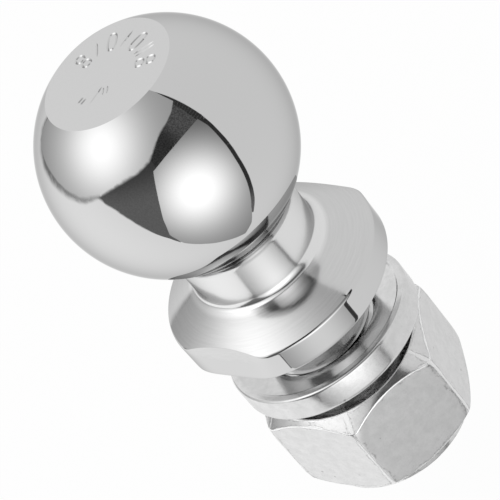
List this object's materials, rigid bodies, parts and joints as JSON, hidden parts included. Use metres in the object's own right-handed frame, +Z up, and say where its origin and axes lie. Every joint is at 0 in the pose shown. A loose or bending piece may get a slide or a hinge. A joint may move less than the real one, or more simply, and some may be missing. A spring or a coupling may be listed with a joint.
{
  "type": "threaded tow ball",
  "caption": "Chromed towing ball on a flanged, threaded shank, with a split lock washer and a hexagon nut that clamp it to a drawbar.",
  "frame": {"origin": "centre of the shank's end face, on which the part stands, at the middle of the underside of the part's box", "axes": "+Z up the shank's axis to the ball; -Y through the near wrench flat of the flange; +X along the wrench flats"},
  "size_m": [0.0508, 0.0508, 0.1141],
  "materials": {
    "chrome_plate": "polished chrome plate on forged steel",
    "zinc_washer": "bright zinc plate on spring steel, tumbled",
    "zinc_nut": "bright zinc plate on forged steel, satin"
  },
  "bodies": {
    "ball_stud": {"ball_stud": "chrome_plate"},
    "lock_washer": {"lock_washer": "zinc_washer"},
    "hex_nut": {"hex_nut": "zinc_nut"}
  },
  "joints": [
    {"name": "nut_travel", "type": "slide", "parent": "ball_stud", "child": "lock_washer", "axis": [0, 0, 1], "range_m": [-0.0254, 0.01043]},
    {"name": "nut_turn", "type": "hinge", "parent": "lock_washer", "child": "hex_nut", "pos_m": [0, 0, 0.0135], "axis": [0, 0, 1], "range_deg": [-5040, 2070]}
  ],
  "couplings": [
    {"joint": "nut_travel", "follows": "nut_turn", "m_per_rad": 0.00028875}
  ]
}
